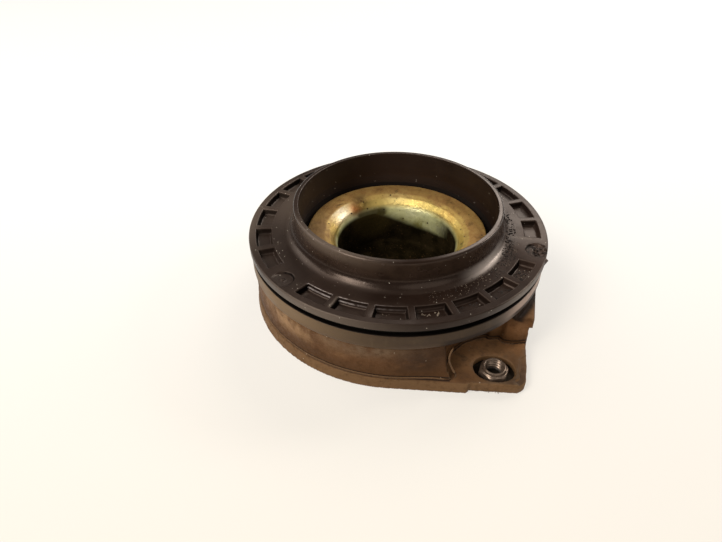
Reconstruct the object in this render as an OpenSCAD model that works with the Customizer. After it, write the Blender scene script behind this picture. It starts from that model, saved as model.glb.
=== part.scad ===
// Strut top mount with its ball thrust bearing, lying on the face that bolts to the car body.
// Millimetres. Z is the bearing axis and points to the wheel side, and z = 0 is the bolting face.
// The two ears lie along X. The ear at +X has lost most of its moulded edge.

/* [Spring seat] */
// Outside diameter of the spring seat's flange
flange_d = 130; // [128:0.5:134]
// Height of the face that the spring presses on
flange_z = 35.1; // [34.6:0.1:36]
// Thickness of the flange at its rim
flange_t = 3.5; // [2.5:0.1:3.5]
// Outside diameter of the collar that centres the spring
collar_d = 90; // [89:0.1:91]
// Wall of the collar
collar_wall = 2.3; // [2:0.1:2.4]
// Height of the collar's rim
collar_z = 47.4; // [44:0.1:52]
// Radius of the hollow corner between collar and flange
collar_fillet = 5; // [3:0.5:5]
// Inside diameter of the ring of weight-saving pockets
pocket_in_d = 109; // [107:0.5:111]
// Outside diameter of the ring of pockets
pocket_out_d = 123.6; // [121:0.2:124]
// Depth of the pockets
pocket_depth = 3; // [1:0.2:3]
// Width of the webs between the pockets
pocket_web = 2.8; // [2:0.1:4]
// Direction of the first moulding gate mark, from the +X ear
gate_angle = 38; // [0:1:119]
// Diameter of a gate mark
gate_d = 8.6; // [6:0.1:8.6]

/* [Bearing] */
// Outside diameter of the fixed cap
cap_d = 128.3; // [127:0.1:129]
// Height of the cap's top edge
cap_z = 28.8; // [28.2:0.1:29]
// Diameter of a ball
ball_d = 6; // [5.6:0.1:6]
// Number of balls
ball_count = 30; // [20:1:32]
// Diameter of the circle of balls
pitch_d = 106; // [105:0.2:107]
// Room between a ball and its race groove
ball_play = 0.1; // [0.06:0.02:0.2]
// Room between a ball and its hole in the cage
cage_play = 0.08; // [0.04:0.02:0.2]

/* [Rubber mount] */
// Diameter of the drum's wall
drum_d = 127.6; // [126:0.2:128]
// Height of the drum, where the bearing cap sits
drum_z = 20.2; // [20:0.1:20.2]
// Diameter of the moulded lip around the base
lip_d = 129.6; // [128:0.2:130]
// Height of the lip, and of the pads around the nuts
lip_z = 5.2; // [4:0.1:6]
// Width of the lip that has torn off the +X ear, at the pad
lip_w = 1.2; // [1:0.1:1.4]
// Width of the rubber that has torn off below the pad
torn_w = 2.9; // [2.4:0.1:3.2]
// Distance from the bearing axis to the centre of an ear's round tip
ear_reach = 76.5; // [75:0.5:80]
// Radius of an ear's round tip
ear_tip_r = 6; // [5:0.5:7]
// Angle of an ear's centre line from the line through the nuts
ear_lean = 2.9; // [0:0.1:5]
// Height of the shoulders that run from the drum to the ears
shoulder_z = 18.5; // [16:0.1:19.5]
// Radius of the clearance pocket around a nut, at the pad
nut_pocket_r = 16.8; // [15:0.1:17.5]
// Radius of the same pocket at the top of the shoulders
nut_pocket_top_r = 18.8; // [17.5:0.1:20]
// Diameter of the hole in the rubber around a nut
nut_hole_d = 15.2; // [15.2:0.1:15.6]

/* [Steel parts] */
// Distance between the two fixing nuts
nut_spacing = 138; // [136:0.5:140]
// Diameter of the tapped hole in a nut
nut_bore_d = 6.8; // [6.6:0.1:7]
// Width across the flats of a nut
nut_flats = 13; // [12:0.5:13]
// Height of a nut's top face
nut_z = 6.4; // [5.6:0.1:7]
// Thickness of the armature plate
plate_t = 2; // [1.5:0.1:2.5]
// Diameter of the cup's flange
cup_flange_d = 79.2; // [78:0.2:80]
// Height of the cup's flange
cup_z = 30.6; // [30:0.1:31]
// Inside diameter of the cup
cup_bore_d = 52.6; // [50:0.2:54]
// Radius of the cup's bell mouth
cup_bell_r = 6; // [4:0.5:6]
// Sheet thickness of the cup
cup_t = 2; // [1.5:0.1:2.5]
// Height of the cup's underside above the bolting face
cup_floor_z = 5; // [4:0.2:8]
// Diameter of the hole for the damper rod
rod_d = 12.2; // [10.2:0.1:14.2]

/* [Hidden] */
$fn = 96;
eps = 0.01;
function ball_name(i) = str("ball_", i);

// Colours
rubber_colour = [0.42, 0.33, 0.25];
plate_colour = [0.45, 0.44, 0.42];
nut_colour = [0.66, 0.62, 0.54];
cup_colour = [0.80, 0.62, 0.30];
cap_colour = [0.45, 0.39, 0.35];
race_colour = [0.70, 0.70, 0.72];
seat_colour = [0.33, 0.28, 0.26];
seal_colour = [0.08, 0.08, 0.08];
cage_colour = [0.78, 0.74, 0.62];
ball_colour = [0.85, 0.85, 0.87];

// Bearing heights, from the cap's floor up through the balls to the spring seat
running_gap = 0.3;
pitch_r = pitch_d / 2;
ball_r = ball_d / 2;
groove_r = ball_r + ball_play;
race_t = 1.2;
cap_floor_t = 1.4;
race_half_w = 5.1;
cap_floor_z = drum_z + cap_floor_t;
ball_z = cap_floor_z + race_t + groove_r;
seat_floor_z = ball_z + groove_r + race_t;
cage_t = 2.4;
race_lip = cage_t / 2 + running_gap;
cage_half_w = 3.6;

// Radii of the seat's skirts and of the cap's walls that they run in
collar_r = collar_d / 2;
collar_in_r = collar_r - collar_wall;
skirt_out_r = collar_r - 0.4;
hook_r = collar_r + 0.5;
hook_t = 1;
hook_z = cap_floor_z + 0.8;
relief_r = hook_r + 0.5;
cap_inner_r = pitch_r - race_half_w - running_gap;
cap_inner_z = cap_z - 0.8;
dust_in_r = pitch_r + race_half_w + 0.5;
dust_out_r = dust_in_r + 1.7;
dust_z = ball_z + 0.7;
cap_wall_r = dust_out_r + 0.7;
flange_under_z = flange_z - flange_t;
seal_t = 1.3;
seat_edge = 0.5;

// The pockets' places are a 24th of a turn apart, and every eighth is a gate mark instead
pocket_places = 24;
places_per_gate = 8;
gate_margin = 0.3;
gate_ring_r = flange_d / 2 - seat_edge - gate_margin - gate_d / 2;
gate_depth = 0.7;
gate_stub_d = 1.8;

// Rubber and steel of the mount
lip_r = lip_d / 2;
shoulder_inset = lip_w + 0.1;
plate_inset = torn_w + 0.3;
// The tear undercuts the pad as far up as the plate's top face
torn_z = plate_t;
outline_overlap = 0.1;
collar_gap_r = cup_bore_d / 2 + cup_t + 8;
collar_top_z = 16;
neck_r = cup_flange_d / 2 - 3;
base_recess_z = 3;
lip_groove = 0.4;
nut_r = nut_flats / 2 / cos(30);
nut_pilot_r = 5;
nut_top_r = 4.9;
nut_chamfer = 1.5;
ear_turns = [0, 180];

// The torn edge of the +X ear: a fan from the axis whose two sides are the ragged ends of the lip
torn_fan = [
    [0, 0], [66, -14.2], [69.4, -12.6], [70.1, -14.1], [71.6, -14.6], [90, -22],
    [95, 45], [62, 36], [58.4, 32.2], [56.6, 33.4], [53, 31]
];
// The part of a shoulder that is cut back where a nut's pocket runs out through its side
pocket_runout = [[69, 0], [61.5, 14.2], [64.2, 16.7], [66.2, 22.4], [76, 14]];

function polar(r, a) = [r * cos(a), r * sin(a)];

// Points of a circular arc, for a profile
function arc(centre, r, from, to, steps = 8) =
    [for (i = [0 : steps]) centre + polar(r, from + (to - from) * i / steps)];

// Plan of the base: a disc with two ears, moved in by a margin
module outline(inset) {
    disc_r = lip_r - inset;
    tip_r = ear_tip_r - inset;
    side = acos((disc_r - tip_r) / ear_reach);
    tip = [ear_reach, 0];
    circle(disc_r);
    for (turn = ear_turns) rotate(turn + ear_lean) {
        translate(tip) circle(tip_r);
        polygon([
            [0, 0],
            polar(disc_r - outline_overlap, -side),
            tip + polar(tip_r - outline_overlap, -side),
            tip + polar(tip_r - outline_overlap, side),
            polar(disc_r - outline_overlap, side)
        ]);
    }
}

module at_nuts() {
    for (turn = ear_turns) rotate(turn) translate([nut_spacing / 2, 0, 0]) children();
}

// The space inside the cup's outer surface, with the recess under it
module cup_space() {
    bell = [cup_bore_d / 2 + cup_bell_r, cup_z - cup_bell_r];
    wall_r = cup_bore_d / 2 + cup_t;
    rotate_extrude() polygon(concat(
        [[0, -1], [collar_gap_r, -1], [collar_gap_r, base_recess_z], [wall_r - 1, base_recess_z],
         [wall_r - 1, cup_floor_z], [wall_r, cup_floor_z]],
        arc(bell, cup_bell_r - cup_t, 180, 90),
        [[cup_flange_d, cup_z - cup_t], [cup_flange_d, collar_z], [0, collar_z]]
    ));
}

// Pressed steel plate with a drawn collar, without its nut holes
module plate_form() {
    linear_extrude(plate_t) difference() {
        outline(plate_inset);
        circle(collar_gap_r + plate_t / 2);
    }
    rotate_extrude() translate([collar_gap_r, 0]) square([plate_t, collar_top_z]);
}

// Rubber around the plate's edge, with the lip torn off the +X ear and undercut there
module base_form() {
    linear_extrude(lip_z) outline(torn_w);
    translate([0, 0, torn_z]) linear_extrude(lip_z - torn_z) outline(lip_w);
    linear_extrude(lip_z) difference() {
        outline(0);
        polygon(torn_fan);
    }
}

module rubber_body() {
    color(rubber_colour) difference() {
        union() {
            base_form();
            translate([0, 0, torn_z]) linear_extrude(shoulder_z - torn_z) outline(shoulder_inset);
            cylinder(d = drum_d, h = drum_z);
            cylinder(r = neck_r, h = cup_z - cup_t);
        }
        cup_space();
        plate_form();
        at_nuts() {
            translate([0, 0, plate_t]) cylinder(d = nut_hole_d, h = drum_z);
            translate([0, 0, lip_z])
                cylinder(r1 = nut_pocket_r, r2 = nut_pocket_top_r, h = drum_z + eps - lip_z);
        }
        for (turn = ear_turns) rotate(turn) translate([0, 0, lip_z])
            linear_extrude(drum_z) polygon(pocket_runout);
        rotate_extrude() translate([drum_d / 2 - lip_groove, lip_z]) square(lip_groove + eps);
    }
}

module armature_plate() {
    color(plate_colour) difference() {
        plate_form();
        at_nuts() translate([0, 0, -1]) cylinder(r = nut_pilot_r, h = plate_t + 2);
    }
}

module weld_nuts() {
    color(nut_colour) at_nuts() difference() {
        union() {
            cylinder(r = nut_pilot_r, h = plate_t);
            intersection() {
                translate([0, 0, plate_t]) cylinder(r = nut_r, h = nut_z, $fn = 6);
                rotate_extrude() polygon([
                    [0, 0], [nut_r, 0], [nut_r, nut_z - nut_chamfer], [nut_top_r, nut_z], [0, nut_z]
                ]);
            }
        }
        translate([0, 0, -1]) cylinder(d = nut_bore_d, h = nut_z + 2);
    }
}

module inner_cup() {
    bore_r = cup_bore_d / 2;
    bell = [bore_r + cup_bell_r, cup_z - cup_bell_r];
    flange_r = cup_flange_d / 2;
    floor_top = cup_floor_z + cup_t;
    color(cup_colour) rotate_extrude() polygon(concat(
        [[rod_d / 2, cup_floor_z], [bore_r + cup_t, cup_floor_z]],
        arc(bell, cup_bell_r - cup_t, 180, 90),
        [[flange_r - 0.4, cup_z - cup_t], [flange_r, cup_z - cup_t + 0.4],
         [flange_r, cup_z - 0.4], [flange_r - 0.4, cup_z]],
        arc(bell, cup_bell_r, 90, 180),
        [[bore_r, floor_top + 1], [bore_r - 1, floor_top], [rod_d / 2, floor_top]]
    ));
}

module bearing_cap() {
    cap_r = cap_d / 2;
    edge = 0.5;
    color(cap_colour) rotate_extrude() polygon([
        [relief_r, drum_z], [cap_r - edge, drum_z], [cap_r, drum_z + edge],
        [cap_r, cap_z - edge], [cap_r - edge, cap_z], [cap_wall_r + edge, cap_z],
        [cap_wall_r, cap_z - edge], [cap_wall_r, cap_floor_z], [cap_inner_r, cap_floor_z],
        [cap_inner_r, cap_inner_z], [collar_r + edge, cap_inner_z], [collar_r, cap_inner_z - edge],
        [collar_r, hook_z + hook_t + 0.8], [relief_r, hook_z + hook_t + 0.6]
    ]);
}

// A race ring between two heights, with the groove that the balls run in
module race(low_z, high_z) {
    rotate_extrude() difference() {
        translate([pitch_r - race_half_w, low_z]) square([2 * race_half_w, high_z - low_z]);
        translate([pitch_r, ball_z]) circle(groove_r);
    }
}

module cap_race() {
    color(race_colour) race(cap_floor_z, ball_z - race_lip);
}

module seat_race() {
    color(race_colour) race(ball_z + race_lip, seat_floor_z);
}

module seat_form() {
    flange_r = flange_d / 2;
    rim_r = collar_wall / 2;
    rotate_extrude() polygon(concat(
        [[collar_in_r, hook_z], [hook_r - 0.4, hook_z], [hook_r, hook_z + 0.4],
         [hook_r, hook_z + hook_t], [skirt_out_r, hook_z + hook_t], [skirt_out_r, seat_floor_z],
         [dust_in_r, seat_floor_z], [dust_in_r, dust_z], [dust_out_r, dust_z],
         [dust_out_r, flange_under_z], [flange_r - seat_edge, flange_under_z],
         [flange_r, flange_under_z + seat_edge], [flange_r, flange_z - seat_edge],
         [flange_r - seat_edge, flange_z]],
        arc([collar_r + collar_fillet, flange_z + collar_fillet], collar_fillet, 270, 180),
        arc([collar_r - rim_r, collar_z - rim_r], rim_r, 0, 180)
    ));
}

// One weight-saving pocket on the X axis, between two webs of even width
module seat_pocket() {
    half_place = 180 / pocket_places;
    apex = [pocket_web / 2 / sin(half_place), 0];
    translate([0, 0, flange_z - pocket_depth]) linear_extrude(pocket_depth + eps) intersection() {
        difference() {
            circle(d = pocket_out_d);
            circle(d = pocket_in_d);
        }
        polygon([apex, apex + polar(flange_d, half_place), apex + polar(flange_d, -half_place)]);
    }
}

module gate_mark() {
    translate([gate_ring_r, 0, flange_z - gate_depth]) difference() {
        cylinder(d = gate_d, h = gate_depth + eps);
        cylinder(d = gate_stub_d, h = gate_depth);
    }
}

module spring_seat() {
    color(seat_colour) difference() {
        seat_form();
        for (place = [0 : pocket_places - 1]) rotate(gate_angle + place * 360 / pocket_places) {
            if (place % places_per_gate == 0) gate_mark();
            else seat_pocket();
        }
    }
}

module seal_ring(inner_r, low_z, high_z) {
    color(seal_colour) rotate_extrude() translate([inner_r, low_z]) square([seal_t, high_z - low_z]);
}

module outer_seal() {
    seal_ring(cap_wall_r + 0.6, cap_z + running_gap, flange_under_z);
}

module inner_seal() {
    seal_ring(collar_r + 0.9, cap_inner_z + running_gap, seat_floor_z);
}

module at_ball(i) {
    rotate(i * 360 / ball_count) translate([pitch_r, 0, ball_z]) children();
}

module ball_cage() {
    color(cage_colour) difference() {
        rotate_extrude() translate([pitch_r - cage_half_w, ball_z - cage_t / 2])
            square([2 * cage_half_w, cage_t]);
        for (i = [1 : ball_count]) at_ball(i)
            cylinder(r = ball_r + cage_play, h = cage_t + 2, center = true);
    }
}

module ball(i) {
    color(ball_colour) at_ball(i) sphere(d = ball_d);
}

rubber_body();
armature_plate();
weld_nuts();
inner_cup();
bearing_cap();
cap_race();
spring_seat();
seat_race();
outer_seal();
inner_seal();
ball_cage();
for (i = [1 : ball_count]) ball(i);
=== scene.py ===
"""Looks of a strut top mount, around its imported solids. Lengths are millimetres until a mesh is made."""
import math
from functools import partial, reduce

import bpy
import numpy as np
from mathutils import Matrix, Vector


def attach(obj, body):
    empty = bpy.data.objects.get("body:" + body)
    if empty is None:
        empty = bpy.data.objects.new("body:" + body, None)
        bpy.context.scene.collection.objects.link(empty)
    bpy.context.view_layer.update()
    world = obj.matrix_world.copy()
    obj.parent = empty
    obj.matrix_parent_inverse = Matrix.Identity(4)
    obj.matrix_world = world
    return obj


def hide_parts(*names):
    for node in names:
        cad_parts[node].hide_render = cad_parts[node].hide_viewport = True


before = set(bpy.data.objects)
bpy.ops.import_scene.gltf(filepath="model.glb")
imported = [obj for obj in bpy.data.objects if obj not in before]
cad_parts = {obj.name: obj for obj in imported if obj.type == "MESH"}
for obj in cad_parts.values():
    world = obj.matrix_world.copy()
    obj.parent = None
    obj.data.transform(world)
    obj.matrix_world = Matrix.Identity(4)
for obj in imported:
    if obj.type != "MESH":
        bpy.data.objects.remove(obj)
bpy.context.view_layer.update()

MM = 0.001
SEED = 7

# Spring seat
FLANGE_R, FLANGE_Z, UNDER_Z = 65.0, 35.1, 31.7
COLLAR_R, COLLAR_IN_R, COLLAR_Z, FILLET_R = 45.0, 42.7, 47.4, 5.0
FILLET_END_R = COLLAR_R + FILLET_R
POCKET_IN_R, POCKET_OUT_R, POCKET_DEPTH = 55.2, 61.9, 2.7
WEB_HALF, PLACES, GATE_EVERY, GATE_ANGLE = 1.4, 24, 8, 38.0
GATE_DIRECTIONS = [math.radians(GATE_ANGLE + place * 360 / PLACES) for place in range(0, PLACES, GATE_EVERY)]
GATE_R, GATE_RING_R, GATE_DEPTH, GATE_STUB_R = 4.5, 60.6, 0.8, 0.8
SPIKE_ANGLE, SPIKE_Z, SPIKE_REACH = 33.6, 34.5, 1.1
SKIRT_R, SKIRT_Z, NECK_R, RACE_BED_Z = 45.5, 22.4, 44.6, 30.2
FIN_IN_R, FIN_OUT_R, FIN_Z = 58.6, 60.3, 26.6

# Bearing cap and cup
CAP_R, CAP_EDGE_Z, CAP_FOOT_R, CAP_FOOT_Z = 64.55, 28.8, 62.4, 21.5
CAP_OUT_R, CAP_IN_R, CAP_WALL_Z, CAP_FLOOR_Z, CAP_LIP_R, CAP_LIP_Z = 61, 47.6, 28, 21.6, 45, 24.2
CUP_R, CUP_T, CUP_Z, CUP_FLANGE_R, CUP_FLANGE_Z, ROD_HOLE_R = 26.3, 2, 5, 40.0, 31.4, 6.1
RING_COLUMNS = 256

# Rubber mount
LIP_R, LIP_Z, DRUM_R, DRUM_Z = 64.8, 5.2, 63.8, 20.2
DRUM_EDGE_Z, DRUM_EDGE_R = 21.4, 62.2
BEAD_Z, BEAD_R, BEAD_START, BEAD_SWEEP, BEAD_POINTS = 6.15, 0.36, -17.0, 135, 420
# Heights of the painted shade lines in the creases above the lip
CREASE_SHADE_HEIGHTS = 5.45, 6.75
EAR_REACH, EAR_TIP_R, EAR_LEAN = 76.5, 6.0, 2.9
SHOULDER_Z, SHOULDER_INSET, SHOULDER_LEAN = 17.8, 1.3, 0.25
NUT_X, NUT_Z, PLATE_T, PLATE_INSET = 69.0, 6.4, 2.0, 3.2
NUT_HOLE_LONG, NUT_HOLE_SHORT, NUT_HOLE_TURN = 8.3, 6.9, 48.6
PAD_FLARE, HOOK_Z, HOOK_FROM, HOOK_TO = 0.12, 13.0, 12, 19
STEP_FROM, STEP_DEPTH, STEP_WIDTH = (71.0, 2.5), 1.0, 4.2
TORN_WIDTH, TORN_LOW_Z, RING_INNER_R = 1.4, 2.6, 46.0
CORE_IN_R, CORE_FOOT_R, CORE_TOP_R, CORE_OUT_R, CORE_Z, CORE_COLUMNS = 27.3, 36.3, 36.6, 46.2, 3, 128
BOND_R, BOND_Z = 38.3, 16
EDGE_ROUND, PAD_ROUND, SHOULDER_ROUND, DRUM_ROUND = 0.5, 0.8, 0.9, 0.4

# Camera, in the part's frame
CAMERA_PLACE, CAMERA_TURN, CAMERA_DOWN, CAMERA_ROLL = (167.38, -122.63, 173.07), 58.2, 38.62, -0.37
CAMERA_FOCAL, CAMERA_WIDTH, CAMERA_SENSOR = 558.34, 722, 36

# Level directions on the part: to the right and to the near side of the photo
RIGHTWARD, NEARWARD = (0.527, 0.85, 0), (0.85, -0.527, 0)


# Meshes

def add_object(name, data):
    thing = bpy.data.objects.new(name, data)
    bpy.context.scene.collection.objects.link(thing)
    return thing


def add_mesh(name, points, faces, material, body, replaced=()):
    """A smooth-shaded piece from points in millimetres, riding on a body."""
    mesh = bpy.data.meshes.new(name)
    mesh.from_pydata((np.asarray(points, float).reshape(-1, 3) * MM).tolist(), [], faces)
    mesh.validate()
    mesh.shade_smooth()
    piece = add_object(name, mesh)
    mesh.materials.append(material)
    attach(piece, body)
    if replaced:
        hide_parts(*replaced)


def ring_faces(rings, columns):
    """Faces of a grid that closes on itself both around the axis and around its profile."""
    index = np.arange(rings * columns).reshape(rings, columns)
    up = np.roll(index, -1, 0)
    quads = np.stack([index, np.roll(index, -1, 1), np.roll(up, -1, 1), up], -1)
    return quads.reshape(-1, 4).tolist()


def tube_faces(rings, sides):
    """Faces of a tube with both ends closed."""
    index = np.arange(rings * sides).reshape(rings, sides)
    ahead = np.roll(index, -1, 1)
    quads = np.stack([index[:-1], ahead[:-1], ahead[1:], index[1:]], -1)
    return quads.reshape(-1, 4).tolist() + [index[0, ::-1].tolist(), index[-1].tolist()]


def add_tubes(name, tubes, material, body):
    """One piece from separate tubes that have equal numbers of rings and sides."""
    count, rings, sides = np.shape(tubes)[:3]
    faces = tube_faces(rings, sides)
    size = rings * sides
    faces = [[first + corner for corner in face] for first in range(0, count * size, size) for face in faces]
    add_mesh(name, tubes, faces, material, body)


def unit(vectors):
    """The vectors with length 1."""
    return vectors / np.linalg.norm(vectors, axis=-1, keepdims=True)


def tube(path, radius, outward, sides=8):
    """Points of a thin ridge along a path, tapered to its ends."""
    along = unit(np.gradient(path, axis=0))
    side = unit(outward - (outward * along).sum(1, keepdims=True) * along)
    up = np.cross(along, side)
    gone = np.insert(np.cumsum(np.linalg.norm(np.diff(path, axis=0), axis=1)), 0, 0)
    full = radius * ease(np.minimum(gone, gone[-1] - gone), -0.1, 6 * radius)[:, None, None]
    angles = np.linspace(0, 2 * np.pi, sides, endpoint=False)[None, :, None]
    return path[:, None] + full * (np.cos(angles) * side[:, None] + np.sin(angles) * up[:, None])


def eased_path(corners, spacing):
    """A smooth path through corners, resampled at about that spacing."""
    corners = np.asarray(corners, float)
    stops = np.vstack([2 * corners[0] - corners[1], corners, 2 * corners[-1] - corners[-2]])
    points = []
    for before, start, end, after in zip(stops, stops[1:], stops[2:], stops[3:]):
        slope = (end - before) / 2
        bend = before - 2.5 * start + 2 * end - after / 2
        twist = 1.5 * (start - end) + (after - before) / 2
        count = max(2, math.ceil(np.linalg.norm(end - start) / spacing))
        points += [start + t * (slope + t * (bend + t * twist)) for t in np.arange(count) / count]
    return np.array(points + [corners[-1]])


def rounded(corners, steps=5):
    """Closed profile from corners (r, z, radius), each corner turned into an arc."""
    points = []
    for i, (r, z, radius) in enumerate(corners):
        here = np.array([r, z])
        if radius == 0:
            points.append(here)
            continue
        back = unit(np.array(corners[i - 1][:2]) - here)
        ahead = unit(np.array(corners[(i + 1) % len(corners)][:2]) - here)
        half = math.acos(np.clip(back @ ahead, -1, 1)) / 2
        centre = here + unit(back + ahead) * radius / math.sin(half)
        start = here + back * radius / math.tan(half) - centre
        end = here + ahead * radius / math.tan(half) - centre
        first = math.atan2(start[1], start[0])
        turn = (math.atan2(end[1], end[0]) - first + math.pi) % (2 * math.pi) - math.pi
        for step in range(steps + 1):
            angle = first + turn * step / steps
            points.append(centre + radius * np.array([math.cos(angle), math.sin(angle)]))
    return np.array(points)


def arc(centre, radius, first, last, steps):
    """Points of an arc between two angles in degrees."""
    angles = np.radians(np.linspace(first, last, steps + 1))
    return np.stack([centre[0] + radius * np.cos(angles), centre[1] + radius * np.sin(angles)], -1)


def refined(profile, longest):
    """The closed profile with its long sides divided."""
    points = []
    for here, ahead in zip(profile, np.roll(profile, -1, 0)):
        parts = max(1, math.ceil(np.linalg.norm(ahead - here) / longest))
        points += [here + (ahead - here) * part / parts for part in range(parts)]
    return np.array(points)


def turned(profile, columns):
    """The profile (r, z) turned around the axis, as a grid of points."""
    angles = np.linspace(0, 2 * np.pi, columns, endpoint=False)
    r, z = profile[:, :1], profile[:, 1:]
    return np.stack([r * np.cos(angles), r * np.sin(angles), z + 0 * angles], -1)


def value_noise(points, size, seed):
    """Smooth noise between -1 and 1 with features of about that size."""
    count = 32
    lattice = np.random.default_rng(SEED + seed).uniform(-1, 1, (count,) * 3)
    place = np.asarray(points) / size
    cell = np.floor(place).astype(int)
    part = place - cell
    part = part * part * (3 - 2 * part)
    total = 0.0
    for corner in np.ndindex(2, 2, 2):
        weight = 1.0
        for axis in range(3):
            weight = weight * (part[..., axis] if corner[axis] else 1 - part[..., axis])
        x, y, z = (np.mod(cell[..., axis] + corner[axis], count) for axis in range(3))
        total = total + weight * lattice[x, y, z]
    return total


def smooth_min(a, b, blend):
    near = np.maximum(blend - np.abs(a - b), 0) / blend
    return np.minimum(a, b) - near * near * blend / 4


def smooth_max(a, b, blend):
    return -smooth_min(-a, -b, blend)


def ease(value, start, end):
    """0 before start, 1 after end, smooth between; falling where start is above end."""
    part = np.clip((value - start) / (end - start), 0, 1)
    return part * part * (3 - 2 * part)


def polygon_distance(x, y, corners):
    """Distance to a polygon in plan, negative inside."""
    nearest = np.full(x.shape, 1e9)
    side = np.ones(x.shape)
    for (ax, ay), (bx, by) in zip(corners, corners[1:] + corners[:1]):
        ex, ey = bx - ax, by - ay
        wx, wy = x - ax, y - ay
        along = np.clip((wx * ex + wy * ey) / (ex * ex + ey * ey), 0, 1)
        nearest = np.minimum(nearest, np.hypot(wx - ex * along, wy - ey * along))
        crosses = (ay > y) != (by > y)
        slope = ex / ey if ey else 0.0
        side = np.where(crosses & (wx < slope * wy), -side, side)
    return nearest * side


def surface_nets(field, low, steps):
    """Points and quads of the zero level of a sampled field that is negative inside."""
    inside = field < 0
    cells = np.array(field.shape) - 1
    total = np.zeros((*cells, 3))
    count = np.zeros(cells)

    def corner(values, offset):
        return values[tuple(slice(o, o + n) for o, n in zip(offset, cells))]

    for axis in range(3):
        for pair in np.ndindex(2, 2):
            first = np.insert(pair, axis, 0)
            second = np.insert(pair, axis, 1)
            a, b = corner(field, first), corner(field, second)
            crossed = corner(inside, first) != corner(inside, second)
            where = first + np.zeros((int(crossed.sum()), 3))
            where[:, axis] = a[crossed] / (a[crossed] - b[crossed])
            total[crossed] += where
            count[crossed] += 1
    used = count > 0
    number = np.full(cells, -1)
    number[used] = np.arange(used.sum())
    points = low + (np.argwhere(used) + total[used] / count[used][:, None]) * steps
    quads = []
    for axis in range(3):
        one, two = (axis + 1) % 3, (axis + 2) % 3
        before = np.take(inside, range(cells[axis]), axis)
        after = np.take(inside, range(1, cells[axis] + 1), axis)
        for state in (True, False):
            edge = np.argwhere((before != after) & (before == state))
            ring = []
            for d_one, d_two in ((1, 1), (0, 1), (0, 0), (1, 0)):
                cell = edge.copy()
                cell[:, one] -= d_one
                cell[:, two] -= d_two
                ring.append(number[tuple(cell.T)])
            quad = np.stack(ring, -1)
            quads.append(quad if state else quad[:, ::-1])
    return points, np.concatenate(quads).tolist()


# Materials

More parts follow.
